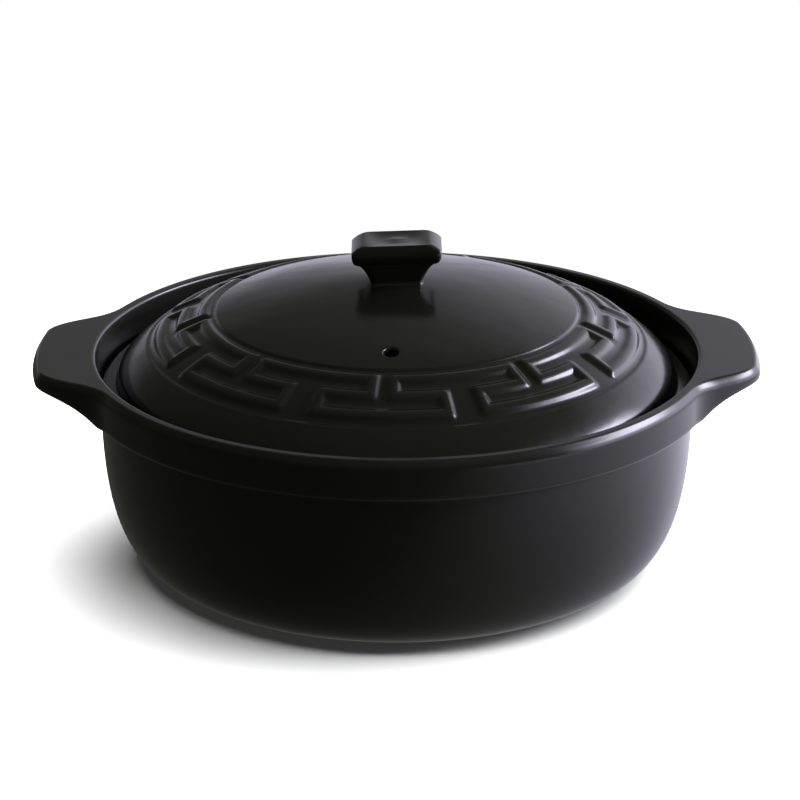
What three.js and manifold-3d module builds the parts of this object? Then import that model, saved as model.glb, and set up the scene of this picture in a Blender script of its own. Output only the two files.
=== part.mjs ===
// Glazed ceramic casserole pot: bowl with a collar and two lugs, and a lift-off domed lid with a knob.
// Millimetres, +Z up, table at z = 0, handles along X, front towards -Y.
import * as THREE from "three";
import { mergeVertices } from "three/addons/utils/BufferGeometryUtils.js";
import Module from "manifold-3d";

const wasm = await Module();
wasm.setup();

// Driving dimensions of the bowl
const RIM_HEIGHT = 90; // table to the top of the rim
const RIM_RADIUS = 131; // outside of the collar
const RIM_THICKNESS = 6; // collar wall at the rim
const RIM_ROUNDING = 3.2; // outer edge of the rim
const RIM_EASING = 1.2; // inner edge of the rim
const COLLAR_DEPTH = 16.4; // top of the rim to the collar's lower edge
const COLLAR_ROUNDING = 2.2; // lower edge of the collar
const COLLAR_OVERHANG = 7.7; // how far the collar stands out from the wall
const UNDERSIDE_FALL = 2.2; // how far the collar's underside falls towards the wall
const WALL_THICKNESS = 7.2; // bowl wall
const FLOOR_THICKNESS = 9; // bowl floor
const BASE_RADIUS = 80; // where the wall's curve runs out into the flat base
const WALL_FULLNESS = 0.51; // exponent of the wall curve, across
const WALL_DROP = 0.8; // exponent of the wall curve, down
const GALLERY_DEPTH = 15.2; // top of the rim to the seat of the lid
const GALLERY_DRAFT = 2; // how far the gallery leans in from rim to seat
const SEAT_ROUNDING = 1.5; // inner edge of the seat

// Driving dimensions of the lug handles
const HANDLE_OVERHANG = 19.8; // how far a lug reaches out from the collar
const HANDLE_TIP_HALF_WIDTH = 33.5; // half width where the sides meet the end arc
const HANDLE_SIDE_TAPER = 0.6; // half width lost for each millimetre outwards
const HANDLE_CORNER = 10; // length of the rounding at the two outer corners
const HANDLE_TIP_THICKNESS = 6.8; // at the end of the lug, and the collar's depth at its root
const HANDLE_HOLLOW = 2.2; // exponent of the underside's curve from end to root
const HANDLE_ROUNDING = 3; // edges of the lug
const LUTING_GAP = 0.3; // slip joint between luted pieces

// Driving dimensions of the lid
const SEAT_GAP = 0.3; // lid flange above its seat
const FLANGE_CLEARANCE = 1.2; // lid flange to the foot of the gallery
const FLANGE_EDGE = 2.2; // thickness of the flange at its edge
const FLANGE_WIDTH = 6.4; // foot of the dome to the edge of the flange
const FLANGE_FILLET = 4.7; // height of the concave fillet from flange to dome
const DOME_RISE = 35.5; // foot of the dome to its crown
const DOME_SPREAD = 2.29; // exponent of the dome curve, across
const DOME_SHOULDER = 1.32; // exponent of the dome curve, down
const LID_THICKNESS = 6; // shell of the dome
const VENT_RADIUS = 3; // steam hole
const VENT_DISTANCE = 63.7; // pot axis to the steam hole
const VENT_BEARING = 1.6; // degrees from the middle of the front key to the steam hole
const LID_TURN = -5.4; // degrees that the lid is turned from the handles' square

// Driving dimensions of the fret relief on the lid
const FRET_INNER_RADIUS = 75.3; // sunk band, inner edge
const FRET_OUTER_RADIUS = 103.3; // sunk band, outer edge
const FRET_SUNK = 0.7; // floor of the band below the dome
const FRET_RELIEF = 1.5; // raised line above the floor of the band
const FRET_LINE = 3.4; // width of the raised line on top
const FRET_BATTER = 0.9; // how far each flank of the line spreads at its foot
const FRET_ROWS = [98, 89, 80]; // radii of the outer, middle and inner runs
const FRET_REPEATS = 9; // keys in the band
const FRET_INNER_PAIR = 2.9; // degrees from the middle of a key to its inner crossing
const FRET_OUTER_PAIR = 4.5; // degrees from the gap between keys to its outer crossing

// Driving dimensions of the knob
const KNOB_HEIGHT = 20.5; // crown of the dome to the top of the knob
const KNOB_LENGTH = 37; // cap, along the handles
const KNOB_DEPTH = 20; // cap, front to back
const KNOB_CORNER = 6; // plan corners of the cap
const CAP_THICKNESS = 10.1;
const CAP_ROUNDING = 2; // upper and lower edges of the cap
const CAP_BORDER = 2.5; // flat border round the dished top
const CAP_DISH = 0.8; // depth of the dished top
const NECK_LENGTH = 21.4; // neck at the dome, along the handles
const NECK_DEPTH = 12; // neck at the dome, front to back
const NECK_FLARE = 2.7; // how far the cove spreads to each side under the cap
const KNOB_TURN = 3.5; // degrees that the knob is turned from the handles' square

// Facets
const TURNS = 72; // round the pot axis
const ARC_STEPS = 3; // in a rounded edge
const CURVE_STEPS = 8; // in a wall or dome curve

// Sizes that follow from the driving dimensions
const rimInner = RIM_RADIUS - RIM_THICKNESS;
const galleryFoot = rimInner - GALLERY_DRAFT;
const seatHeight = RIM_HEIGHT - GALLERY_DEPTH;
const wallRadius = RIM_RADIUS - COLLAR_OVERHANG;
const collarFoot = RIM_HEIGHT - COLLAR_DEPTH;
const wallTop = collarFoot - UNDERSIDE_FALL;
const handleReach = RIM_RADIUS + HANDLE_OVERHANG;
const flangeRadius = galleryFoot - FLANGE_CLEARANCE;
const flangeBottom = seatHeight + SEAT_GAP;
const flangeTop = flangeBottom + FLANGE_EDGE;
const domeRadius = flangeRadius - FLANGE_WIDTH;
const domeFoot = flangeTop + FLANGE_FILLET;
const crownHeight = domeFoot + DOME_RISE;

const point = (r, z) => new THREE.Vector2(r, z);

// Points of an arc in the profile plane, angles in degrees from outwards towards up
function arc(r, z, radius, from, to, steps = ARC_STEPS) {
  return Array.from({ length: steps + 1 }, (_, i) => {
    const angle = THREE.MathUtils.degToRad(from + ((to - from) * i) / steps);
    return point(r + radius * Math.cos(angle), z + radius * Math.sin(angle));
  });
}

// Superellipse wall from its vertical top at radius top to its flat foot at radius foot
function wallCurve(top, foot, topZ, footZ) {
  return Array.from({ length: CURVE_STEPS + 1 }, (_, i) => {
    const angle = (Math.PI / 2) * (i / CURVE_STEPS);
    const across = Math.max(Math.cos(angle), 0) ** WALL_FULLNESS;
    const down = Math.sin(angle) ** WALL_DROP;
    return point(foot + (top - foot) * across, topZ + (footZ - topZ) * down);
  });
}

// Height of a dome of the given foot radius, foot height and rise, at distance r from the axis
function domeHeight(r, radius = domeRadius, foot = domeFoot, rise = DOME_RISE) {
  const fall = Math.min(r / radius, 1) ** DOME_SPREAD;
  return foot + rise * (1 - fall) ** (1 / DOME_SHOULDER);
}

// Profile points of a dome at the given distances from the axis
const domeCurve = (distances, ...dome) => distances.map((r) => point(r, domeHeight(r, ...dome)));

// Numbers from one value to another in equal steps, both ends included
function spaced(from, to, steps) {
  return Array.from({ length: steps + 1 }, (_, i) => from + ((to - from) * i) / steps);
}

// Solid of revolution about Z from a profile that runs from the axis, outwards and up, back to the axis
function revolve(profile) {
  return new THREE.LatheGeometry(profile, TURNS).rotateX(Math.PI / 2);
}

// Closed solid through rings of points, bottom ring first, each running anticlockwise seen from above
function loft(rings) {
  const count = rings[0].length;
  const vertices = rings.flat();
  const faces = [];
  for (let level = 0; level + 1 < rings.length; level++) {
    for (let i = 0; i < count; i++) {
      const a = level * count + i;
      const b = level * count + ((i + 1) % count);
      faces.push(a, b, b + count, a, b + count, a + count);
    }
  }
  const last = (rings.length - 1) * count;
  for (let i = 1; i + 1 < count; i++) {
    faces.push(0, i + 1, i, last, last + i, last + i + 1);
  }
  const geometry = new THREE.BufferGeometry().setFromPoints(vertices);
  return geometry.setIndex(faces);
}

// Manifold solid from a three.js geometry, and back
function solid(geometry) {
  const bare = geometry.clone();
  bare.deleteAttribute("normal");
  bare.deleteAttribute("uv");
  const welded = mergeVertices(bare, 1e-4);
  const mesh = new wasm.Mesh({
    numProp: 3,
    vertProperties: new Float32Array(welded.attributes.position.array),
    triVerts: new Uint32Array(welded.index.array),
  });
  mesh.merge();
  return new wasm.Manifold(mesh);
}

function geometryOf(manifold) {
  const mesh = manifold.getMesh();
  const geometry = new THREE.BufferGeometry();
  geometry.setAttribute("position", new THREE.BufferAttribute(mesh.vertProperties, 3));
  geometry.setIndex(new THREE.BufferAttribute(mesh.triVerts, 1));
  geometry.computeVertexNormals();
  return geometry;
}

// Black glaze of the whole pot
const glaze = () => new THREE.MeshStandardMaterial({ color: 0x1a191b, roughness: 0.3, metalness: 0 });

function piece(name, geometry) {
  const mesh = new THREE.Mesh(geometry, glaze());
  mesh.name = name;
  return mesh;
}

// Bowl: flat base, full wall, collar, rounded rim, gallery with the seat for the lid, inside
function bowl() {
  const seatInner = wallRadius - WALL_THICKNESS;
  return revolve([
    point(0, 0),
    ...wallCurve(wallRadius, BASE_RADIUS, wallTop, 0).reverse(),
    ...arc(RIM_RADIUS - COLLAR_ROUNDING, collarFoot + COLLAR_ROUNDING, COLLAR_ROUNDING, -90, 0),
    ...arc(RIM_RADIUS - RIM_ROUNDING, RIM_HEIGHT - RIM_ROUNDING, RIM_ROUNDING, 0, 90),
    ...arc(rimInner + RIM_EASING, RIM_HEIGHT - RIM_EASING, RIM_EASING, 90, 180),
    point(galleryFoot, seatHeight),
    ...arc(seatInner + SEAT_ROUNDING, seatHeight - SEAT_ROUNDING, SEAT_ROUNDING, 90, 180),
    ...wallCurve(seatInner, BASE_RADIUS - WALL_THICKNESS, seatHeight - 2 * SEAT_ROUNDING, FLOOR_THICKNESS),
    point(0, FLOOR_THICKNESS),
  ]);
}

// Lug at +X: plan outline with a concentric end, hollowed underside, its root cut to the collar
function handle() {
  const root = RIM_RADIUS + LUTING_GAP;
  const tipX = Math.sqrt(handleReach ** 2 - HANDLE_TIP_HALF_WIDTH ** 2);
  const slant = Math.sqrt(1 + HANDLE_SIDE_TAPER ** 2);
  const deepest = HANDLE_TIP_HALF_WIDTH / slant;

  // Half width of the outline drawn in by an inset, and where its side meets a circle about the pot axis
  const side = (x, inset) => HANDLE_TIP_HALF_WIDTH + HANDLE_SIDE_TAPER * (tipX - x) - inset * slant;
  function meetX(radius, inset) {
    const start = side(0, inset);
    const lean = HANDLE_SIDE_TAPER * start;
    return (lean + Math.sqrt(lean ** 2 - slant ** 2 * (start ** 2 - radius ** 2))) / slant ** 2;
  }
  const collarX = meetX(root, 0);
  const startX = collarX - 2 * HANDLE_ROUNDING;

  // Half of the outline: straight side from inside the collar, rounded corner, arc to the middle of the end
  function halfOutline(inset) {
    const reach = handleReach - inset;
    const cornerX = meetX(reach, inset);
    const corner = point(cornerX, side(cornerX, inset));
    const length = HANDLE_CORNER * (1 - inset / deepest);
    const sideEndX = cornerX - length / slant;
    const arcStart = corner.angle() - length / reach;
    const onArc = (angle) => point(reach * Math.cos(angle), reach * Math.sin(angle));
    const sideEnd = point(sideEndX, side(sideEndX, inset));
    const straight = new THREE.LineCurve(point(startX, side(startX, inset)), sideEnd);
    const rounding = new THREE.QuadraticBezierCurve(sideEnd, corner, onArc(arcStart));
    return [
      ...straight.getPoints(CURVE_STEPS / 2).slice(0, -1),
      ...rounding.getPoints(CURVE_STEPS / 2),
      ...spaced(arcStart, 0, CURVE_STEPS / 2).slice(1).map(onArc),
    ];
  }

  // Thickness of the lug at distance x from the pot axis
  function thicknessAt(x) {
    const share = THREE.MathUtils.clamp((handleReach - x) / (handleReach - collarX), 0, 1);
    return THREE.MathUtils.lerp(HANDLE_TIP_THICKNESS, COLLAR_DEPTH, share ** HANDLE_HOLLOW);
  }

  // Whole outline drawn in by an inset, its height measured from the flat top or from the underside
  function ring(inset, height) {
    const half = halfOutline(inset);
    const mirrored = half.slice(0, -1).map(({ x, y }) => point(x, -y));
    return [...mirrored, ...half.reverse()].map(({ x, y }) => new THREE.Vector3(x, y, height(x)));
  }
  const underside = (inset, above = 0) => ring(inset, (x) => RIM_HEIGHT - thicknessAt(x) + above);
  const top = (inset, below) => ring(inset, () => RIM_HEIGHT - below);

  // Underside from its middle outwards, rounded lower edge, rounded upper edge
  const edge = arc(HANDLE_ROUNDING, HANDLE_ROUNDING, HANDLE_ROUNDING, 180, 270);
  const lug = loft([
    ...spaced(deepest, HANDLE_ROUNDING, 4).slice(1, -1).map((inset) => underside(inset)),
    ...edge.map((p) => underside(p.x, p.y)).reverse(),
    ...edge.map((p) => top(p.x, p.y)),
  ]);

  const above = 2 * RIM_HEIGHT;
  const collar = revolve([point(0, 0), point(root, 0), point(root, above), point(0, above)]);
  return geometryOf(solid(lug).subtract(solid(collar)));
}

// Ring of points round the axis at the given angles in degrees from the front, sorted, height by angle
function ring(angles, r, height) {
  const sorted = angles.map((angle) => THREE.MathUtils.euclideanModulo(angle, 360)).sort((a, b) => a - b);
  const points = sorted.map((angle) => {
    const turn = THREE.MathUtils.degToRad(angle);
    return new THREE.Vector3(r * Math.sin(turn), -r * Math.cos(turn), height(angle));
  });
  return { angles: sorted, points };
}

// Closed solid through rings that may differ in their number of points, from one pole to the other
function stack(rings) {
  const faces = [];
  let below = 0;
  for (let level = 0; level + 1 < rings.length; level++) {
    const above = below + rings[level].points.length;
    const lower = rings[level].angles;
    const upper = rings[level + 1].angles;
    const angleOf = (angles, i) => (i < angles.length ? angles[i] : angles[0] + 360);
    let i = 0;
    let j = 0;
    while (i < lower.length || j < upper.length) {
      const here = below + (i % lower.length);
      const there = above + (j % upper.length);
      const lowerIsNext = angleOf(lower, i + 1) <= angleOf(upper, j + 1);
      if (j === upper.length || (i < lower.length && lowerIsNext)) {
        i += 1;
        if (lower.length > 1) faces.push(here, below + (i % lower.length), there);
      } else {
        j += 1;
        if (upper.length > 1) faces.push(here, above + (j % upper.length), there);
      }
    }
    below = above;
  }
  const geometry = new THREE.BufferGeometry().setFromPoints(rings.flatMap(({ points }) => points));
  return geometry.setIndex(faces);
}

// Sunk band with the raised fret: one endless line that doubles back three rows deep, key after key
function fretBand() {
  const pitch = 360 / FRET_REPEATS;
  const [outer, middle, inner] = FRET_ROWS;
  const far = pitch / 2 - FRET_OUTER_PAIR;
  const near = FRET_INNER_PAIR;
  const crest = FRET_LINE / 2;
  const foot = crest + FRET_BATTER;
  const inDegrees = (length) => THREE.MathUtils.radToDeg(length / middle);

  // Runs of the line in one key: angles from and to, radii from and to
  const runs = [
    [-far, far, outer, outer],
    [-far, -near, middle, middle],
    [near, far, middle, middle],
    [near, pitch - near, inner, inner],
    [-far, -far, middle, outer],
    [far, far, middle, outer],
    [-near, -near, inner, middle],
    [near, near, inner, middle],
  ];
  const slack = 1e-6;
  const reaches = (value, from, to, by) => value > from - by - slack && value < to + by + slack;
  function isRaised(angle, r) {
    const inKey = THREE.MathUtils.euclideanModulo(angle + pitch / 2, pitch) - pitch / 2;
    return [inKey, inKey + pitch].some((turn) =>
      runs.some(([from, to, low, high]) =>
        reaches(turn, from, to, inDegrees(crest)) && reaches(r, low, high, crest)));
  }

  // Angles of the crossings' four edges, one between a key's two pairs, and radii of the rows' four edges
  const edges = [-foot, -crest, crest, foot];
  const crossings = [-far, -near, near, far];
  const between = [-(near + far) / 2, (near + far) / 2];
  const keyAngles = [...between, ...crossings.flatMap((at) => edges.map((edge) => at + inDegrees(edge)))];
  const angles = Array.from({ length: FRET_REPEATS }, (_, key) => key * pitch)
    .flatMap((start) => keyAngles.map((angle) => start + angle));
  const radii = [
    FRET_OUTER_RADIUS - FRET_SUNK,
    ...FRET_ROWS.flatMap((row) => edges.map((edge) => row - edge)),
    FRET_INNER_RADIUS + FRET_SUNK,
  ];

  const level = (r) => ring(angles, r, () => domeHeight(r));
  const floor = (r) =>
    ring(angles, r, (angle) => domeHeight(r) - FRET_SUNK + (isRaised(angle, r) ? FRET_RELIEF : 0));
  return [level(FRET_OUTER_RADIUS), ...radii.map(floor), level(FRET_INNER_RADIUS)];
}

// Lid: domed shell with the fret band, concave fillet and out-turned flange, open underneath
function lidDome() {
  const flangeRounding = FLANGE_EDGE / 2;
  const flangeMiddle = point(flangeRadius - flangeRounding, flangeBottom + flangeRounding);
  const flangeEdge = arc(flangeMiddle.x, flangeMiddle.y, flangeRounding, -90, 90);
  const filletReach = FLANGE_WIDTH - 2 * FLANGE_EDGE;
  const fillet = arc(0, 0, 1, 270, 180).map(({ x, y }) =>
    point(domeRadius + filletReach * (1 + x), domeFoot + FLANGE_FILLET * y));
  const shoulder = arc(0, 0, 1, 0, 90, CURVE_STEPS / 2).slice(1, -1).map(({ y }) =>
    THREE.MathUtils.lerp(domeRadius, FRET_OUTER_RADIUS, y ** 2));
  const innerRadius = domeRadius - LID_THICKNESS;
  const innerRise = crownHeight - LID_THICKNESS - flangeBottom;
  const innerDistances = arc(0, 0, innerRadius, 90, 0, CURVE_STEPS).map(({ x }) => x);

  const turns = Array.from({ length: TURNS }, (_, i) => (360 * i) / TURNS);
  const round = ({ x, y }) => ring(x < 1e-6 ? [0] : turns, x, () => y);
  const shell = stack([
    ...domeCurve(innerDistances, innerRadius, flangeBottom, innerRise).map(round),
    ...flangeEdge.map(round),
    ...fillet.map(round),
    ...domeCurve(shoulder).map(round),
    ...fretBand(),
    ...domeCurve(spaced(FRET_INNER_RADIUS, 0, 6).slice(1)).map(round),
  ]);
  const vent = new THREE.CylinderGeometry(VENT_RADIUS, VENT_RADIUS, crownHeight, TURNS / 3);
  vent.rotateX(Math.PI / 2);
  vent.translate(0, -VENT_DISTANCE, crownHeight);
  vent.rotateZ(THREE.MathUtils.degToRad(VENT_BEARING));
  const dome = geometryOf(solid(shell).subtract(solid(vent)));
  return dome.rotateZ(THREE.MathUtils.degToRad(LID_TURN));
}

// Rounded rectangle of a knob section at height z, anticlockwise seen from above
function roundedRectangle(length, depth, corner, z) {
  const x = length / 2 - corner;
  const y = depth / 2 - corner;
  const centres = [[x, y], [-x, y], [-x, -y], [x, -y]];
  return centres.flatMap(([cx, cy], i) =>
    arc(cx, cy, corner, 90 * i, 90 * (i + 1)).map((p) => new THREE.Vector3(p.x, p.y, z)));
}

// Knob: coved neck, thick cap with rounded edges and a dished top, its foot cut to the dome
function lidKnob() {
  const top = crownHeight + KNOB_HEIGHT;
  const capFoot = top - CAP_THICKNESS;
  const inset = (by, z, corner = KNOB_CORNER) =>
    roundedRectangle(KNOB_LENGTH - 2 * by, KNOB_DEPTH - 2 * by, Math.max(corner - by, 0.5), z);
  const neckCorner = NECK_DEPTH / 3;
  const neck = (share) => {
    const spread = NECK_FLARE * (1 - Math.cos((share * Math.PI) / 2));
    const z = THREE.MathUtils.lerp(crownHeight, capFoot, share);
    return roundedRectangle(NECK_LENGTH + 2 * spread, NECK_DEPTH + 2 * spread, neckCorner + spread, z);
  };
  const rounding = (from, to, z) =>
    arc(-CAP_ROUNDING, z, CAP_ROUNDING, from, to).map((p) => inset(-p.x, p.y));
  const sunkFoot = neck(0).map(({ x, y }) => new THREE.Vector3(x, y, crownHeight - LID_THICKNESS));
  const knob = loft([
    sunkFoot,
    ...spaced(0, 1, 5).map(neck),
    ...rounding(-90, 0, capFoot + CAP_ROUNDING),
    ...rounding(0, 90, top - CAP_ROUNDING),
    inset(CAP_ROUNDING + CAP_BORDER, top),
    inset(CAP_ROUNDING + 2 * CAP_BORDER, top - CAP_DISH),
  ]);
  knob.rotateZ(THREE.MathUtils.degToRad(KNOB_TURN));

  const reach = FRET_INNER_RADIUS;
  const lifted = ({ x, y }) => point(x, y + LUTING_GAP);
  const dome = revolve([point(0, 0), point(reach, 0), ...domeCurve(spaced(reach, 0, 12)).map(lifted)]);
  return geometryOf(solid(knob).subtract(solid(dome)));
}

// Pot and lid, each a group of the pieces that move together
const pot = new THREE.Group();
pot.name = "pot";
pot.add(piece("bowl", bowl()));
const right = piece("handle_right", handle());
const left = piece("handle_left", right.geometry.clone());
left.rotation.z = Math.PI;
pot.add(right, left);

const lid = new THREE.Group();
lid.name = "lid";
lid.add(piece("lid_dome", lidDome()), piece("lid_knob", lidKnob()));

const casserole = new THREE.Group();
casserole.name = "casserole_pot";
casserole.add(pot, lid);

export default casserole;
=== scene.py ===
import math

import bpy
import numpy as np
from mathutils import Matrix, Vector


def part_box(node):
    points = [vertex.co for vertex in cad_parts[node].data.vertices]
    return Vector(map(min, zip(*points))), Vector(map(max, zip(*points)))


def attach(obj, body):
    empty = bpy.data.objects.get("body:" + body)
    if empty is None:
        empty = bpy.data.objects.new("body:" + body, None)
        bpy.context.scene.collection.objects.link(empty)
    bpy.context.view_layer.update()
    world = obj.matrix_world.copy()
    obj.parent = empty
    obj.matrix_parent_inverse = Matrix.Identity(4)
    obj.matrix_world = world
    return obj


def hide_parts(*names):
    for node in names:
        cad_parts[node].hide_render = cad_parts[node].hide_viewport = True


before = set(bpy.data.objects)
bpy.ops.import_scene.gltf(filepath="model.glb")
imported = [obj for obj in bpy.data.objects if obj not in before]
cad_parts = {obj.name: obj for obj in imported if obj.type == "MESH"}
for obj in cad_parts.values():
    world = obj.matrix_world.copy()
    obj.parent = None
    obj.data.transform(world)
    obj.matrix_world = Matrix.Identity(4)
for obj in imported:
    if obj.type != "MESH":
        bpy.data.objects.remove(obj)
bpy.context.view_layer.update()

# The pot: a jiggered stoneware bowl with a collar, a gallery inside the rim and two lugs that are
# luted on with slip and sponged smooth, so that bowl and lugs lie under one skin of black glaze.
# Lengths are in millimetres until a mesh is made.
MM = 0.001
bowl_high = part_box("bowl")[1]
rim_height = bowl_high.z / MM
rim_radius = bowl_high.x / MM
lug_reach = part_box("handle_right")[1].x / MM

rim_inner = rim_radius - 6.0
collar_foot = rim_height - 16.4
wall_radius = rim_radius - 7.7
wall_top = collar_foot - 2.2
wall_start = wall_top - 5.4
wall_fullness, wall_drop = 0.51, 0.8
base_radius = 80.0
recess_radius = 77.4
base_recess = 0.6
floor_top = 9.0
seat_height = rim_height - 15.2
gallery_foot = rim_inner - 2.0
seat_inner = wall_radius - 7.2
inside_top = seat_height - 5.0
inside_foot = base_radius - 7.2

lug_half_width = 33.5
lug_taper = 0.6
lug_corner = 9.0
lug_root_fillet = 6.0
lug_tip_thickness = 6.8
lug_hollow = 2.2
lug_tip_x = math.sqrt(lug_reach**2 - lug_half_width**2)
lug_root_x = 122.5


def soft_min(a, b, blend):
    """The smaller of two values, eased by a parabola where they are closer than blend."""
    near = np.maximum(blend - np.abs(a - b), 0) / blend
    return np.minimum(a, b) - near**2 * blend / 4


def crowd(start, end, count, places, width, gain):
    """Count values from start to end, packed closer around the given places:
    equal steps of the integral of 1 + gain * sum of bell curves of that width."""
    fine = np.linspace(start, end, 20 * count)
    bells = np.exp(-(((fine[:, None] - np.asarray(places)[None, :]) / width) ** 2)).sum(1)
    total = np.concatenate([[0], np.cumsum(1 + gain * bells)[:-1]])
    return np.interp(np.linspace(0, total[-1], count), total, fine)


def pot_outline(turn):
    """Distance of the pot's outline from its axis, seen from above, at each angle from +X.
    A lug is its straight side or its end arc, whichever is nearer, and it flows into the collar."""
    off = np.abs((turn + np.pi / 2) % np.pi - np.pi / 2)
    side = (lug_half_width + lug_taper * lug_tip_x) / (np.sin(off) + lug_taper * np.cos(off))
    lug = soft_min(side, lug_reach, lug_corner)
    return -soft_min(-lug, -rim_radius, lug_root_fillet), off


def lug_underside(x):
    """Height of the lugs' underside at distance x along the handles' line: from the end to the root it
    falls to the collar's foot by a power of the share of the way, which makes it hollow."""
    share = np.clip((lug_reach - x) / (lug_reach - lug_root_x), 0, 1)
    tip_foot = rim_height - lug_tip_thickness
    return tip_foot - (tip_foot - collar_foot) * share**lug_hollow


def soft_polyline(corners, softness, along):
    """Points on polylines with eased corners. Corner k is rounded by a parabola that starts softness[k]
    before it: the path is the sum over sides of (ramp(s - start) - ramp(s - end)) * direction, where
    ramp is the positive part of its argument, eased within the softness of that corner."""
    steps = np.diff(corners, axis=-2)
    lengths = np.linalg.norm(steps, axis=-1)
    directions = steps / np.maximum(lengths, 1e-9)[..., None]
    starts = np.concatenate([np.zeros_like(lengths[..., :1]), np.cumsum(lengths, -1)], -1)
    past = along[..., None] - starts[..., None, :]
    ease = np.broadcast_to(softness, starts.shape)[..., None, :]
    ramp = np.where(past > ease, past, np.clip(past + ease, 0, None) ** 2 / (4 * ease))
    share = ramp[..., :-1] - ramp[..., 1:]
    return corners[..., :1, :] + np.einsum("...sk,...kd->...sd", share, directions)


def along_corners(corners, breaks, counts):
    """Distances along polylines, each stretch between two numbered corners cut into equal steps, as many
    as its count says."""
    lengths = np.linalg.norm(np.diff(corners, axis=-2), axis=-1)
    starts = np.concatenate([np.zeros_like(lengths[..., :1]), np.cumsum(lengths, -1)], -1)
    stretches = []
    for first, last, count in zip(breaks[:-1], breaks[1:], counts):
        share = np.arange(count) / count
        begin = starts[..., first, None]
        stretches.append(begin + (starts[..., last, None] - begin) * share)
    return np.concatenate([*stretches, starts[..., -1:]], -1)


def pot_wall(top, foot, top_z, foot_z, count):
    """Superellipse wall from its upright top down to its flat foot, as radius and height: a power of
    the cosine across and a power of the sine down."""
    angle = np.linspace(0, np.pi / 2, count)
    across = np.cos(angle).clip(0) ** wall_fullness
    down = np.sin(angle) ** wall_drop
    return np.stack([foot + (top - foot) * across, top_z + (foot_z - top_z) * down], -1)


def shell_faces(number):
    """Quads of a grid of vertex numbers whose rows close on themselves, one for each cell."""
    onward = np.roll(number, -1, 1)
    return np.stack([number[:-1], onward[:-1], onward[1:], number[1:]], -1)


def cap_faces(ring, pole):
    """Triangles from a closed ring of vertex numbers to one vertex."""
    return np.stack([np.roll(ring, -1), ring, np.full(len(ring), pole)], -1)


def closed_shell(number):
    """Faces of a grid of vertex numbers with a pole at either end, the poles numbered after the grid."""
    return [
        shell_faces(number).reshape(-1, 4),
        cap_faces(number[0], number.size),
        cap_faces(number[-1, ::-1], number.size + 1),
    ]


def new_piece(name, points, faces, attributes):
    """Smooth mesh object from points in millimetres, arrays of faces and named values per point."""
    mesh = bpy.data.meshes.new(name)
    totals = np.concatenate([np.full(len(block), block.shape[1]) for block in faces])
    used, loops = np.unique(np.concatenate([block.ravel() for block in faces]), return_inverse=True)
    points = points[used]
    mesh.vertices.add(len(points))
    mesh.vertices.foreach_set("co", (points * MM).astype(np.float32).ravel())
    mesh.loops.add(len(loops))
    mesh.loops.foreach_set("vertex_index", loops.astype(np.int32))
    mesh.polygons.add(len(totals))
    mesh.polygons.foreach_set("loop_start", np.concatenate([[0], np.cumsum(totals)[:-1]]).astype(np.int32))
    mesh.polygons.foreach_set("use_smooth", np.ones(len(totals), bool))
    for attribute, values in attributes.items():
        layer = mesh.attributes.new(attribute, "FLOAT", "POINT")
        layer.data.foreach_set("value", values.ravel()[used].astype(np.float32))
    mesh.update(calc_edges=True)
    mesh.validate()
    piece = bpy.data.objects.new(name, mesh)
    bpy.context.scene.collection.objects.link(piece)
    return piece


def spun(profile, turn):
    """Points of profiles of radius and height at each angle from +X; rows run along the profile."""
    radius = profile[..., 0]
    return np.stack([radius * np.cos(turn), radius * np.sin(turn), profile[..., 1] + 0 * turn], -1)


# Columns round the pot, closer together across the lugs
columns = 460
turns = crowd(-np.pi / 2, 1.5 * np.pi, columns + 1, [0, np.pi], 0.3, 3.5)[:-1]
outline, off_axis = pot_outline(turns)
slope = np.gradient(outline, turns) / outline
obliquity = np.sqrt(1 + slope**2)

# Corners of the section through collar, lug, rim, gallery and seat, one row of corners for each column
same = np.ones(columns)
under_share = np.linspace(0, 1, 5)
under_radius = rim_radius + (outline[:, None] - rim_radius) * under_share
under = np.stack([under_radius, lug_underside(under_radius * np.cos(off_axis)[:, None])], -1)
before = [(wall_radius, wall_start), (wall_radius, wall_top), (rim_radius, collar_foot)]
after = [
    (rim_inner, rim_height),
    (gallery_foot, seat_height),
    (seat_inner, seat_height),
    (seat_inner, inside_top),
]
bevel_drop, bevel_inset = 3.2, 2.1
section = np.concatenate(
    [
        same[:, None, None] * np.array(before),
        under,
        np.stack([outline, same * rim_height - bevel_drop], -1)[:, None, :],
        np.stack([outline - bevel_inset * obliquity, same * rim_height], -1)[:, None, :],
        same[:, None, None] * np.array(after),
    ],
    1,
)

# How far each of these corners is softened by the sponge and the glaze
crisp = 0.1
collar_root, lower_edge = 1.3, 2.2
bevel_edges = np.array([1.6, 0.6])
rim_edge, gallery_corner, seat_edge = 1.4, 1.0, 1.6
softness = np.concatenate(
    [
        same[:, None] * np.array([crisp, collar_root, lower_edge]),
        np.repeat((lower_edge * obliquity)[:, None], len(under_share), 1),
        bevel_edges * obliquity[:, None],
        same[:, None] * np.array([rim_edge, gallery_corner, seat_edge, crisp]),
    ],
    1,
)
rim_corner = len(before) + len(under_share) + 2
stretch = along_corners(section, [0, 2, rim_corner, len(section[0]) - 1], [14, 84, 40])
lip = np.swapaxes(soft_polyline(section, softness, stretch), 0, 1)

# Rows from the middle of the base, up the outside, over the lip and down the inside to the floor
outside = pot_wall(wall_radius, base_radius, wall_top, 0, 90)
outside = outside[outside[:, 1] < wall_start - 0.2][::-2]
recess = [(radius, base_recess) for radius in (30.0, 60.0, recess_radius)]
base = np.array([*recess, (recess_radius + 0.8, 0.1)])
inside = pot_wall(seat_inner, inside_foot, inside_top, floor_top, 24)[1:]
floor_rows = np.array([(50.0, floor_top), (24.0, floor_top)])


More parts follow.
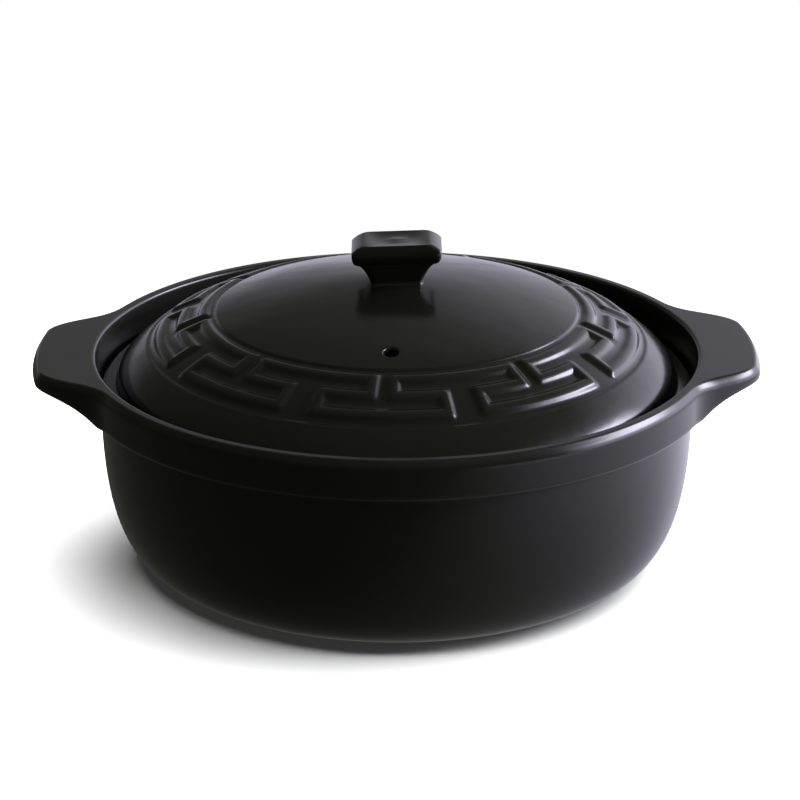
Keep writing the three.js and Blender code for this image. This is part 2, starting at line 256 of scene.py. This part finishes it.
def all_round(profile, count):
    """The same profile of radius and height in every one of the columns."""
    return np.broadcast_to(profile[:, None], (len(profile), count, 2))


below = [all_round(rows, columns) for rows in (base, outside)]
within = [all_round(rows, columns) for rows in (inside, floor_rows)]
profiles = np.concatenate([*below, lip, *within])
pot_points = spun(profiles, turns)
pot_grid = np.arange(profiles[..., 0].size).reshape(-1, columns)
poles = np.array([(0, 0, base_recess), (0, 0, floor_top)])
pot_faces = closed_shell(pot_grid)

# Glaze draws thin over the outer edges: distance from the upper and lower edge of the lip as a mask
thin_width = 1.6
edge_height = np.minimum(np.abs(profiles[..., 1] - rim_height), np.abs(profiles[..., 1] - collar_foot))
on_edge = np.exp(-((edge_height / thin_width) ** 2)) * (profiles[..., 0] > rim_inner - 1)
pot = new_piece(
    "pot_body",
    np.concatenate([pot_points.reshape(-1, 3), poles]),
    pot_faces,
    {"thin_glaze": np.concatenate([on_edge.ravel(), [0, 0]])},
)
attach(pot, "pot")
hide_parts("bowl", "handle_left", "handle_right")


def fill_inputs(tree, node, inputs):
    """Sets a node's inputs, by name or number, each to a value or linked to a socket."""
    for key, value in inputs.items():
        if isinstance(value, bpy.types.NodeSocket):
            tree.links.new(value, node.inputs[key])
        else:
            node.inputs[key].default_value = value


def add_node(tree, kind, inputs=None, **settings):
    """New node with its settings and its inputs."""
    node = tree.nodes.new(kind)
    for key, value in settings.items():
        setattr(node, key, value)
    fill_inputs(tree, node, inputs or {})
    return node


def product(tree, first, *others):
    """Socket with the product of the given sockets or numbers."""
    for other in others:
        first = add_node(tree, "ShaderNodeMath", {0: first, 1: other}, operation="MULTIPLY").outputs[0]
    return first


def scaled_onto(tree, value, factor, base):
    """Socket with the base plus the value times the factor."""
    terms = {0: value, 1: factor, 2: base}
    return add_node(tree, "ShaderNodeMath", terms, operation="MULTIPLY_ADD").outputs[0]


def blended(tree, share, first, second, **settings):
    """Socket with a colour between the first and the second."""
    colours = {0: share, 6: first, 7: second}
    return add_node(tree, "ShaderNodeMix", colours, data_type="RGBA", **settings).outputs[2]


def noise(tree, place, scale, detail):
    """Socket with soft noise from 0 to 1, scale times over a metre."""
    values = {"Vector": place, "Scale": scale, "Detail": detail}
    return add_node(tree, "ShaderNodeTexNoise", values).outputs["Fac"]


def glaze_group():
    """Black glaze as it melted: clouds of warmer and cooler black, a roughness that drifts with them,
    a skin that undulates softly, scattered pinholes, and a paler tone where the glaze drew thin."""
    group = bpy.data.node_groups.new("melted_glaze", "ShaderNodeTree")
    for name, way, kind in (
        ("Cool", "INPUT", "NodeSocketColor"),
        ("Warm", "INPUT", "NodeSocketColor"),
        ("Edge", "INPUT", "NodeSocketFloat"),
        ("Gloss", "INPUT", "NodeSocketFloat"),
        ("Colour", "OUTPUT", "NodeSocketColor"),
        ("Roughness", "OUTPUT", "NodeSocketFloat"),
        ("Height", "OUTPUT", "NodeSocketFloat"),
    ):
        group.interface.new_socket(name, in_out=way, socket_type=kind)
    given = group.nodes.new("NodeGroupInput").outputs
    place = add_node(group, "ShaderNodeTexCoord").outputs["Object"]

    clouds = noise(group, place, 22.0, 3.0)
    cloud = add_node(group, "ShaderNodeMapRange", {0: clouds, 1: 0.35, 2: 0.65}).outputs[0]
    body = blended(group, cloud, given["Cool"], given["Warm"])
    worn = product(group, given["Edge"], clouds)
    colour = blended(group, worn, body, (0.012, 0.011, 0.010, 1), blend_type="ADD")

    drift = scaled_onto(group, clouds, 0.07, given["Gloss"])
    grain = scaled_onto(group, noise(group, place, 900.0, 2.0), 0.04, drift)

    cells = add_node(group, "ShaderNodeTexVoronoi", {"Vector": place, "Scale": 110.0}).outputs
    chance = add_node(group, "ShaderNodeSeparateColor", {0: cells["Color"]}).outputs[0]
    rare = add_node(group, "ShaderNodeMath", {0: chance, 1: 0.93}, operation="GREATER_THAN").outputs[0]
    pit = {0: cells["Distance"], 1: 0.02, 2: 0.06, 3: 1.0, 4: 0.0}
    pinhole = product(group, add_node(group, "ShaderNodeMapRange", pit).outputs[0], rare)

    waves = noise(group, place, 45.0, 1.0)
    skin = scaled_onto(group, noise(group, place, 330.0, 1.0), 0.08, waves)
    height = scaled_onto(group, pinhole, -0.5, skin)
    add_node(group, "NodeGroupOutput", {"Colour": colour, "Roughness": grain, "Height": height})
    return group


melted_glaze = glaze_group()


def glaze_material(name, gloss, unevenness):
    """Black glaze with the given base roughness and strength of its undulating skin."""
    material = bpy.data.materials.new(name)
    material.use_nodes = True
    tree = material.node_tree
    edge = add_node(tree, "ShaderNodeAttribute", attribute_name="thin_glaze").outputs["Fac"]
    blacks = {"Cool": (0.0085, 0.0085, 0.0068, 1), "Warm": (0.0080, 0.0081, 0.0048, 1)}
    glaze = {**blacks, "Edge": edge, "Gloss": gloss}
    surface = add_node(tree, "ShaderNodeGroup", glaze, node_tree=melted_glaze)
    relief = {"Height": surface.outputs["Height"], "Strength": unevenness, "Distance": 0.0006}
    bump = add_node(tree, "ShaderNodeBump", relief)
    finish = {
        "Base Color": surface.outputs["Colour"],
        "Roughness": surface.outputs["Roughness"],
        "Normal": bump.outputs["Normal"],
        "Specular IOR Level": 0.3,
    }
    fill_inputs(tree, tree.nodes["Principled BSDF"], finish)
    return material


pot_glaze = glaze_material("pot_glaze", 0.16, 0.25)
pot.data.materials.append(pot_glaze)

# The foot: the base is wiped clean of glaze before firing, so a disc of bare buff stoneware shows
# underneath. It is the pot's own clay, set into the shallow recess of the base.
foot_radius = 77.0
foot_top = 0.9
foot_bevel = 0.35
foot_columns = 120
foot_profile = np.array(
    [
        (25.0, 0.0),
        (50.0, 0.0),
        (foot_radius - 1.0, 0.0),
        (foot_radius, foot_bevel),
        (foot_radius, foot_top),
        (40.0, foot_top),
    ]
)
foot_turns = np.linspace(0, 2 * np.pi, foot_columns, endpoint=False)
foot_points = spun(all_round(foot_profile, foot_columns), foot_turns)
foot_faces = closed_shell(np.arange(len(foot_profile) * foot_columns).reshape(-1, foot_columns))
foot_poles = np.array([(0, 0, 0), (0, 0, foot_top)])
foot = new_piece("bare_foot", np.concatenate([foot_points.reshape(-1, 3), foot_poles]), foot_faces, {})
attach(foot, "pot")

bare_clay = bpy.data.materials.new("bare_clay")
bare_clay.use_nodes = True
clay_tree = bare_clay.node_tree
clay_place = add_node(clay_tree, "ShaderNodeTexCoord").outputs["Object"]
clay_grit = noise(clay_tree, clay_place, 420.0, 6.0)
clay_tone = add_node(clay_tree, "ShaderNodeValToRGB", {0: clay_grit})
dark_clay, pale_clay = clay_tone.color_ramp.elements
dark_clay.position = 0.35
dark_clay.color = (0.20, 0.145, 0.10, 1)
pale_clay.position = 0.65
pale_clay.color = (0.36, 0.28, 0.20, 1)
clay_relief = {"Height": clay_grit, "Strength": 0.5, "Distance": 0.0004}
clay_bump = add_node(clay_tree, "ShaderNodeBump", clay_relief)
clay_finish = {
    "Base Color": clay_tone.outputs["Color"],
    "Normal": clay_bump.outputs["Normal"],
    "Roughness": 0.85,
}
fill_inputs(clay_tree, clay_tree.nodes["Principled BSDF"], clay_finish)
foot.data.materials.append(bare_clay)

# The lid: a pressed dome with an out-turned flange that sits in the gallery, a sunk band with a raised
# fret all round it, and a steam hole pierced through the leather-hard clay. Black glaze inside and out.
lid_low, lid_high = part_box("lid_dome")
flange_bottom = lid_low.z / MM
crown = lid_high.z / MM
flange_radius = gallery_foot - 1.2
flange_edge = 2.2
flange_width = 6.4
dome_radius = flange_radius - flange_width
flange_fillet = 4.7
dome_foot = flange_bottom + flange_edge + flange_fillet
dome_spread, dome_shoulder = 2.29, 1.32
crown_peak, crown_reach = 3.4, 60.0
lid_wall = 6.0
inner_radius = dome_radius - lid_wall
inner_crown = crown - lid_wall

fret_inner = 75.3
fret_outer = 103.3
fret_sunk = 0.7
fret_relief = 1.45
fret_line = 4.3
fret_ease = 1.5
fret_rows = (98.0, 89.0, 80.0)
fret_repeats = 9
fret_pitch = 2 * np.pi / fret_repeats
fret_near = math.radians(2.9)
fret_far = fret_pitch / 2 - math.radians(4.5)
fret_turn = math.radians(-5.4)
band_edge = 0.7
vent_turn = math.radians(-3.8)
vent_distance = 63.7
vent_radius = 3.0
vent_margin = 6.0
mouth_lip, outlet_lip = 0.9, 0.5
vent_rows = vent_distance + vent_margin * np.linspace(-1, 1, 9)


def dome_height(radius, edge, foot, top):
    """Height of a dome that falls from top to foot at the edge, as a superellipse of the radius:
    (1 - (radius / edge) ** dome_spread) ** (1 / dome_shoulder)."""
    fall = np.clip(radius / edge, 0, 1) ** dome_spread
    return foot + (top - foot) * (1 - fall) ** (1 / dome_shoulder)


def eased_step(value, place, width):
    """Rises from 0 to 1 across a place, over twice the width, as 3t^2 - 2t^3."""
    t = np.clip((value - place) / (2 * width) + 0.5, 0, 1)
    return t * t * (3 - 2 * t)


def fret_height(radius, turn):
    """Relief of the fret above its band: the distance to the nearest run of an endless line that doubles
    back three rows deep, key after key, turned into a raised line with eased flanks."""
    in_key = (turn - fret_turn + fret_pitch / 2) % fret_pitch - fret_pitch / 2
    outer, middle, inner = fret_rows
    near, far, pitch = fret_near, fret_far, fret_pitch
    runs = [
        (-far, far, outer, outer),
        (-far, -near, middle, middle),
        (near, far, middle, middle),
        (near, pitch - near, inner, inner),
        (near - pitch, -near, inner, inner),
        (-far, -far, middle, outer),
        (far, far, middle, outer),
        (-near, -near, inner, middle),
        (near, near, inner, middle),
    ]
    nearest = np.full(np.broadcast(radius, turn).shape, 1e3)
    for first, last, low, high in runs:
        beside = radius * np.maximum(np.maximum(first - in_key, in_key - last), 0)
        across = np.maximum(np.maximum(low - radius, radius - high), 0)
        nearest = np.minimum(nearest, (beside**3 + across**3) ** (1 / 3))
    return fret_relief * (1 - eased_step(nearest, fret_line / 2, fret_ease))


# Columns crowd at the edges of the fret's crossings, rows at the edges of its runs
lid_columns = 684
crossings = np.array([-fret_far, -fret_near, fret_near, fret_far])
line_angle = fret_line / 2 / fret_rows[1]
crossing_edges = np.concatenate([crossings - line_angle, crossings + line_angle])
key_turns = crowd(
    -fret_pitch / 2, fret_pitch / 2, lid_columns // fret_repeats + 1, crossing_edges, math.radians(0.8), 2.2
)[:-1]
lid_turns = (key_turns + fret_pitch * np.arange(fret_repeats)[:, None]).ravel() + fret_turn
row_edges = np.concatenate([np.array(fret_rows) - fret_line / 2, np.array(fret_rows) + fret_line / 2])
band_edges = [fret_inner, fret_outer]
crown_radii = np.concatenate([np.linspace(3, 54, 11), vent_rows, [71.8]])
band_radii = crowd(fret_inner - 1.2, fret_outer + 1.2, 58, [*row_edges, *band_edges], 0.9, 2.2)
shoulder_radii = dome_radius - (dome_radius - fret_outer - 2.0) * np.linspace(1, 0.02, 15) ** 2
top_radii = np.concatenate([crown_radii, band_radii, shoulder_radii])

# Upper surface as height over radius and angle: the dome, drawn up a little more towards the knob, with
# the fret pushed out along its normal
smooth_height = dome_height(top_radii, dome_radius, dome_foot, crown)
smooth_height += crown_peak * (1 - top_radii / crown_reach).clip(0) ** 2
incline = np.arctan(np.gradient(smooth_height, top_radii))
past_inner = eased_step(top_radii, fret_inner, band_edge)
past_outer = eased_step(top_radii, fret_outer, band_edge)
sunk = fret_sunk * past_inner * (1 - past_outer)
relief = fret_height(top_radii[:, None], lid_turns[None, :]) - sunk[:, None]
top_rows = np.stack(
    [
        top_radii[:, None] - relief * np.sin(incline)[:, None],
        smooth_height[:, None] + relief * np.cos(incline)[:, None],
    ],
    -1,
)

# Flange and underside: concave fillet, rounded edge, seat, then the hollow of the dome
cove = np.linspace(np.pi, 1.5 * np.pi, 12)
fillet_width = flange_width - 2 * flange_edge
cove_rows = np.stack(
    [dome_radius + fillet_width * (1 + np.cos(cove)), dome_foot + flange_fillet * np.sin(cove)], -1
)
nose = np.linspace(np.pi / 2, -np.pi / 2, 9)
nose_radius = flange_edge / 2
nose_rows = np.stack(
    [
        flange_radius - nose_radius + nose_radius * np.cos(nose),
        flange_bottom + nose_radius + nose_radius * np.sin(nose),
    ],
    -1,
)
seat_rows = np.array([(flange_radius - 4.0, flange_bottom), (inner_radius + 2.0, flange_bottom)])
hollow_slope = inner_radius * np.sin(np.linspace(np.pi / 2, 0.9, 10))
hollow_radii = np.concatenate([hollow_slope, [76.0], vent_rows[::-1], np.linspace(50, 5, 4)])
hollow_height = dome_height(hollow_radii, inner_radius, flange_bottom, inner_crown)
hollow_rows = np.stack([hollow_radii, hollow_height], -1)
under_rows = np.concatenate([cove_rows, nose_rows, seat_rows, hollow_rows])
lid_profiles = np.concatenate([top_rows, all_round(under_rows, lid_columns)])[::-1]
lid_points = spun(lid_profiles, lid_turns - np.pi / 2)
lid_grid = np.arange(lid_profiles[..., 0].size).reshape(-1, lid_columns)
lid_faces = closed_shell(lid_grid)
lid_poles = np.array([(0, 0, inner_crown), (0, 0, crown + crown_peak)])
raised = np.concatenate([relief / fret_relief, np.zeros((len(under_rows), lid_columns))])[::-1]

# Steam hole: the cells round it give way to rings that run from the dome's upper skin over a rounded
# lip, down the bore and out again to the skin of the hollow
vent_middle = vent_distance * np.array([math.sin(vent_turn), -math.cos(vent_turn)])
vent_columns = np.flatnonzero(np.abs(lid_turns - vent_turn) < vent_margin / vent_distance)
row_radius = lid_profiles[:, 0, 0]
near_vent = np.flatnonzero(np.abs(row_radius - vent_distance) < vent_margin + 0.01)
kept_cells = np.ones((len(lid_grid) - 1, lid_columns), bool)
loops = []
for vent_block in np.split(near_vent, [len(vent_rows)]):
    kept_cells[vent_block[0] : vent_block[-1], vent_columns[0] : vent_columns[-1]] = False
    block = lid_grid[vent_block][:, vent_columns]
    loop = np.concatenate([block[0, :-1], block[:-1, -1], block[-1, :0:-1], block[:0:-1, 0]])
    spot = lid_points.reshape(-1, 3)[loop, :2] - vent_middle
    loops.append(loop[np.argsort(np.arctan2(spot[:, 1], spot[:, 0]))])
inner_loop, outer_loop = loops


def vent_rings(loop, edge, foot, top, lip, side):
    """Rings from a loop of the lid's skin to the bore: closing in to a circle, then over a rounded lip.
    Side is 1 where the bore leads down from the skin and -1 where it leads up."""
    spot = lid_points.reshape(-1, 3)[loop, :2] - vent_middle
    outward = spot / np.linalg.norm(spot, axis=1, keepdims=True)
    close = np.linspace(0, 1, 7)[1:-1, None, None]
    bend = np.linspace(0, np.pi / 2, 6)[:, None, None]
    level = spot + (outward * (vent_radius + lip) - spot) * close
    over = outward * (vent_radius + lip * (1 - np.sin(bend)))
    flat = np.concatenate([level, over])
    sink = np.concatenate([0 * close, lip * (1 - np.cos(bend))])
    height = dome_height(np.linalg.norm(flat + vent_middle, axis=-1), edge, foot, top) - side * sink[..., 0]
    return np.concatenate([flat + vent_middle, height[..., None]], -1)


mouth = vent_rings(outer_loop, dome_radius, dome_foot, crown, mouth_lip, 1)
outlet = vent_rings(inner_loop, inner_radius, flange_bottom, inner_crown, outlet_lip, -1)[::-1]
bore_share = np.linspace(0, 1, 6)[1:-1, None, None]
bore = mouth[-1] + (outlet[0] - mouth[-1]) * bore_share
vent_points = np.concatenate([mouth, bore, outlet])
vent_start = lid_grid.size + len(lid_poles)
vent_grid = vent_start + np.arange(vent_points[..., 0].size).reshape(len(vent_points), -1)
lid_faces[0] = shell_faces(lid_grid)[kept_cells]
lid_faces.append(shell_faces(np.concatenate([outer_loop[None], vent_grid, inner_loop[None]])).reshape(-1, 4))
lid_thin = np.concatenate([(raised * 0.5).clip(0).ravel(), np.zeros(len(lid_poles) + vent_grid.size)])
lid = new_piece(
    "lid_dome_glazed",
    np.concatenate([lid_points.reshape(-1, 3), lid_poles, vent_points.reshape(-1, 3)]),
    lid_faces,
    {"thin_glaze": lid_thin},
)
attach(lid, "lid")
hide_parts("lid_dome")
lid_glaze = glaze_material("lid_glaze", 0.14, 0.6)
lid.data.materials.append(lid_glaze)

# The knob: a pressed rectangular bar of the lid's clay with a coved neck, luted to the crown before
# glazing, its ends falling away and its top dished between soft borders. It leans a little, its right
# end the higher, and glaze has pooled round the foot of its neck.
knob_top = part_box("lid_knob")[1].z / MM - 0.9
knob_turn = math.radians(-1.6)
knob_lean = 0.033
cap_length, cap_depth, cap_corner = 37.0, 22.6, 2.2
cap_foot = knob_top - 8.5
cap_edge, cap_edge_rise = 2.0, 4.0
cap_shoulder = 3.1
end_slope = 5.4
face_slope = 0.9
dish_sag, mound_rise = 1.0, 0.6
neck_length, neck_depth, neck_corner = 19.2, 18.0, 2.6
neck_lean, neck_flare, neck_flare_depth = 2.8, 4.2, 0.15
neck_root = crown - 0.4
pool_foot = crown + 0.62 * crown_peak
pool_width, pool_rise = 0.9, 1.3


def rounded_bar(levels, count):
    """Rings of a bar with rounded corners; each level gives half length, half depth, corner and height.
    A ring is a rectangle walked from the middle of its right side, with its four corners eased."""
    half_x, half_y, corner, height = (column[:, None] for column in levels.T)
    signs_x = np.array([1, 1, -1, -1, 1, 1])
    signs_y = np.array([0, 1, 1, -1, -1, 0])
    corners = np.stack([half_x * signs_x, half_y * signs_y], -1)
    lengths = np.linalg.norm(np.diff(corners, axis=-2), axis=-1).sum(-1, keepdims=True)
    walked = soft_polyline(corners, corner, lengths * np.arange(count) / count)
    return np.concatenate([walked, np.broadcast_to(height[..., None], walked.shape[:2] + (1,))], -1)


def level_rows(*columns_of_values):
    """Columns of values, single numbers repeated, as one row for each level."""
    return np.stack(np.broadcast_arrays(*columns_of_values), -1).astype(float)


# Levels of the bar from the foot up: the neck, which leans out and then flares by a quarter ellipse
way_up = np.sin(np.linspace(0, np.pi / 2, 30))
neck_spread = neck_lean * way_up + neck_flare * (1 - np.sqrt(1 - way_up**2))
neck_height = neck_root + (cap_foot - neck_root) * way_up
pool = pool_width * np.clip((pool_foot + pool_rise - neck_height) / pool_rise, 0, 1) ** 2
neck_levels = level_rows(
    neck_length / 2 + neck_spread + pool,
    neck_depth / 2 + neck_spread * neck_flare_depth + pool,
    neck_corner + pool,
    neck_height,
)

# The cap's rounded lower edge, then its ends and faces drawing in towards the top
quarter = np.linspace(0, np.pi / 2, 7)
lower_inset = cap_edge * (1 - np.sin(quarter))
lower_levels = level_rows(
    cap_length / 2 - lower_inset,
    cap_depth / 2 - lower_inset,
    cap_corner,
    cap_foot + cap_edge_rise * (1 - np.cos(quarter)),
)
shoulder_turn = np.linspace(0, np.pi / 2, 15)
end_inset = (1 - np.cos(shoulder_turn) + np.sin(shoulder_turn)) / 2
upper_levels = level_rows(
    cap_length / 2 - end_slope * end_inset,
    cap_depth / 2 - face_slope * np.sin(shoulder_turn),
    cap_corner,
    knob_top - cap_shoulder * (1 - np.sin(shoulder_turn)),
)

# The top, closing in to a narrow slot in its middle, sinks in a dish with a low mound
top_length, top_depth = cap_length / 2 - end_slope, cap_depth / 2 - face_slope
slot_length, slot_depth, slot_corner = 6.0, 0.3, 0.15
dish_share = np.linspace(0, 1, 30)[1:]
dish_levels = level_rows(
    top_length * (1 - dish_share) + slot_length * dish_share,
    top_depth * (1 - dish_share) + slot_depth * dish_share,
    cap_corner * (1 - dish_share) + slot_corner * dish_share,
    knob_top,
)
knob_levels = np.concatenate([neck_levels[:-1], lower_levels, upper_levels, dish_levels])
knob_columns = 160
knob_rings = rounded_bar(knob_levels, knob_columns)
dish = knob_rings[-len(dish_levels) :]
dish_x, dish_y = dish[..., 0] / top_length, dish[..., 1] / top_depth
hollow = (1 - dish_x**4).clip(0) ** 2 * (1 - dish_y**2).clip(0) * (1 + 0.3 * dish_y)
mound = np.exp(-((dish_x / 0.32) ** 2) - (dish_y / 0.38) ** 2)
dish[..., 2] += mound_rise * mound - dish_sag * hollow
cos_turn, sin_turn = math.cos(knob_turn), math.sin(knob_turn)
knob_rings[..., :2] = knob_rings[..., :2] @ np.array([[cos_turn, sin_turn], [-sin_turn, cos_turn]])
knob_rings[..., 2] += knob_lean * knob_rings[..., 0]
knob_poles = np.array([(0, 0, neck_root), (0, 0, dish[-1, :, 2].mean())])
knob_faces = closed_shell(np.arange(len(knob_levels) * knob_columns).reshape(-1, knob_columns))
thin_depth = 1.5
knob_thin = np.exp(-(((knob_levels[:, 3] - knob_top) / thin_depth) ** 2))[:, None] * np.ones(knob_columns)
knob = new_piece(
    "knob_bar",
    np.concatenate([knob_rings.reshape(-1, 3), knob_poles]),
    knob_faces,
    {"thin_glaze": np.concatenate([knob_thin.ravel(), [0, 0]])},
)
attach(knob, "lid")
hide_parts("lid_knob")
knob.data.materials.append(lid_glaze)

# The set: a white sweep that runs on past the frame, a tall bank of soft cool light from the right round
# to the back with one compact lamp in it, a wide lamp at the right for the sweep's shadow alone, and a
# studio that is dim and warm elsewhere.
bpy.ops.mesh.primitive_plane_add(size=12, location=(0, 0, 0))
floor = bpy.context.object
floor.name = "floor"


def ramp(tree, value, start, end, low, high):
    """Socket that runs smoothly from low to high while the value runs from start to end."""
    limits = {0: value, 1: start, 2: end, 3: low, 4: high}
    return add_node(tree, "ShaderNodeMapRange", limits, interpolation_type="SMOOTHSTEP").outputs[0]


def total(tree, first, *others):
    """Socket with the sum of the given sockets or numbers."""
    for other in others:
        first = add_node(tree, "ShaderNodeMath", {0: first, 1: other}, operation="ADD").outputs[0]
    return first


key_tint = (0.84, 0.82, 1.0, 1)
dim_tint = (0.97, 1.0, 0.82, 1)


def facing(tree, place, direction):
    """Socket with the distance of a place along a direction on the floor."""
    measured = add_node(tree, "ShaderNodeVectorMath", {0: place, 1: direction}, operation="DOT_PRODUCT")
    return measured.outputs["Value"]


def sweep_material():
    """To the camera, white paper with the pot's shadow, which fades to plain white away from the pot. In
    the pot's own reflections it glows cool to the right and behind, less so at the far left, and is dim
    and warm towards the front left, away from the bank."""
    paper = bpy.data.materials.new("white_sweep")
    paper.use_nodes = True
    tree = paper.node_tree
    tree.nodes.clear()
    place = add_node(tree, "ShaderNodeTexCoord").outputs["Object"]
    to_bank = facing(tree, place, (0.906, 0.423, 0))
    to_left = facing(tree, place, (-0.9, 0.436, 0))
    lit = ramp(tree, to_bank, -0.125, 0.365, 0, 1)
    far_left = ramp(tree, to_left, 0, 0.12, 1, 0.5)
    strength = total(tree, product(tree, lit, far_left, 1.97), 0.09)
    tone = blended(tree, ramp(tree, to_bank, -0.125, 0.09, 0, 1), dim_tint, key_tint)
    mirrored = add_node(tree, "ShaderNodeEmission", {"Color": tone, "Strength": strength}).outputs[0]

    distance = add_node(tree, "ShaderNodeVectorMath", {0: place}, operation="LENGTH").outputs["Value"]
    # Near the pot the paper carries a faint, even white glow, 2.8 per cent of plain white. This painted fill
    # light lifts the deepest part of the lamp's shadow. Further out the glow takes over, and the paper is
    # plain white.
    fade = ramp(tree, distance, 0.24, 0.40, 0.028, 1)
    shaded = add_node(tree, "ShaderNodeBsdfDiffuse", {"Color": (0.08, 0.08, 0.08, 1)}).outputs[0]
    plain = add_node(tree, "ShaderNodeEmission", {"Color": (1, 1, 1, 1)}).outputs[0]
    seen = add_node(tree, "ShaderNodeMixShader", {0: fade, 1: shaded, 2: plain}).outputs[0]
    ray = add_node(tree, "ShaderNodeLightPath").outputs["Is Camera Ray"]
    shown = add_node(tree, "ShaderNodeMixShader", {0: ray, 1: mirrored, 2: seen}).outputs[0]
    add_node(tree, "ShaderNodeOutputMaterial", {"Surface": shown})
    return paper


floor.data.materials.append(sweep_material())

# A wide lamp above the right for the sweep alone: open paper is well past white, so only the deep
# shadow shows
ceiling = bpy.data.lights.new("ceiling", "AREA")
ceiling.shape = "RECTANGLE"
ceiling.size = 6.9
ceiling.size_y = 2.75
ceiling.energy = 4600.0
ceiling_lamp = bpy.data.objects.new("ceiling", ceiling)
ceiling_lamp.location = (2.9, 0.7, 1.2)
ceiling_lamp.light_linking.receiver_collection = bpy.data.collections.new("sweep_only")
ceiling_lamp.light_linking.receiver_collection.objects.link(floor)
bpy.context.scene.collection.objects.link(ceiling_lamp)


def studio_world():
    """White to the camera. To the pot, light by azimuth (from behind, towards the right) and elevation:
    a bank that grows towards the right, more so higher up, and stops short in front, a bright horizon, a
    glow over it and a compact lamp, all cool, on a dim warm rest that grows overhead."""
    world = bpy.data.worlds.new("studio")
    world.use_nodes = True
    tree = world.node_tree
    tree.nodes.clear()
    direction = add_node(tree, "ShaderNodeTexCoord").outputs["Generated"]
    x, y, z = add_node(tree, "ShaderNodeSeparateXYZ", {0: direction}).outputs
    azimuth = add_node(tree, "ShaderNodeMath", {0: x, 1: y}, operation="ARCTAN2").outputs[0]
    elevation = add_node(tree, "ShaderNodeMath", {0: z}, operation="ARCSINE").outputs[0]

    def by(angle, start, end, low, high):
        """Ramp over an angle, its ends in degrees."""
        return ramp(tree, angle, math.radians(start), math.radians(end), low, high)

    leaning = scaled_onto(tree, elevation, 0.33, azimuth)
    front_edge = by(azimuth, 105, 122, 1, 0)
    bank = product(tree, by(leaning, -4, 112, 0, 1), front_edge, by(elevation, 5, 54, 1, 0))
    horizon = product(tree, by(azimuth, -70, -20, 0, 0.06), front_edge, by(elevation, 0, 20, 1, 0))
    lamp_width = product(tree, by(azimuth, 60, 78, 0, 4.7), by(azimuth, 88, 114, 1, 0))
    lamp = product(tree, lamp_width, by(elevation, 12, 21, 0, 1), by(elevation, 27, 33, 1, 0))
    glow = product(tree, by(azimuth, -60, -10, 0, 0.022), front_edge, by(elevation, 12, 35, 1, 0))
    key_strength = product(tree, total(tree, bank, horizon, lamp, glow), 6.4)
    dim_strength = by(elevation, 0, 60, 0.09, 0.19)

    key = add_node(tree, "ShaderNodeBackground", {"Color": key_tint, "Strength": key_strength}).outputs[0]
    dim = add_node(tree, "ShaderNodeBackground", {"Color": dim_tint, "Strength": dim_strength}).outputs[0]
    light = add_node(tree, "ShaderNodeAddShader", {0: key, 1: dim}).outputs[0]
    white = add_node(tree, "ShaderNodeBackground", {"Color": (1, 1, 1, 1)}).outputs[0]
    ray = add_node(tree, "ShaderNodeLightPath").outputs["Is Camera Ray"]
    shown = add_node(tree, "ShaderNodeMixShader", {0: ray, 1: light, 2: white}).outputs[0]
    add_node(tree, "ShaderNodeOutputWorld", {"Surface": shown})
    return world


bpy.context.scene.world = studio_world()

# The camera: it stands where the photograph was taken from, a little left of the front, with a long
# lens, and aims beside the middle of the rim by a number of the picture's pixels.
camera_data = bpy.data.cameras.new("camera")
camera_data.sensor_width = 36.0
focal_pixels, image_pixels = 3123.5, 800.0
camera_data.lens = focal_pixels / image_pixels * camera_data.sensor_width
camera = bpy.data.objects.new("camera", camera_data)
bpy.context.scene.collection.objects.link(camera)
elevation = math.radians(19.53)
swing = math.radians(1.80)
distance = 1.300
rim_centre = Vector((0, 0, rim_height * MM))
level_back = Vector((-math.sin(swing), -math.cos(swing), 0))
back = level_back * math.cos(elevation) + Vector((0, 0, math.sin(elevation)))
camera.location = rim_centre + back * distance
right = Vector((math.cos(swing), -math.sin(swing), 0))
down = -back.cross(right)
aim_right, aim_down = 3.37, 53.63
aim = rim_centre + distance / focal_pixels * (aim_right * right + aim_down * down)
camera.rotation_euler = (aim - camera.location).to_track_quat("-Z", "Y").to_euler()
camera_data.clip_start = 0.05
camera_data.clip_end = 50.0
bpy.context.scene.camera = camera
bpy.context.scene.view_settings.view_transform = "Standard"
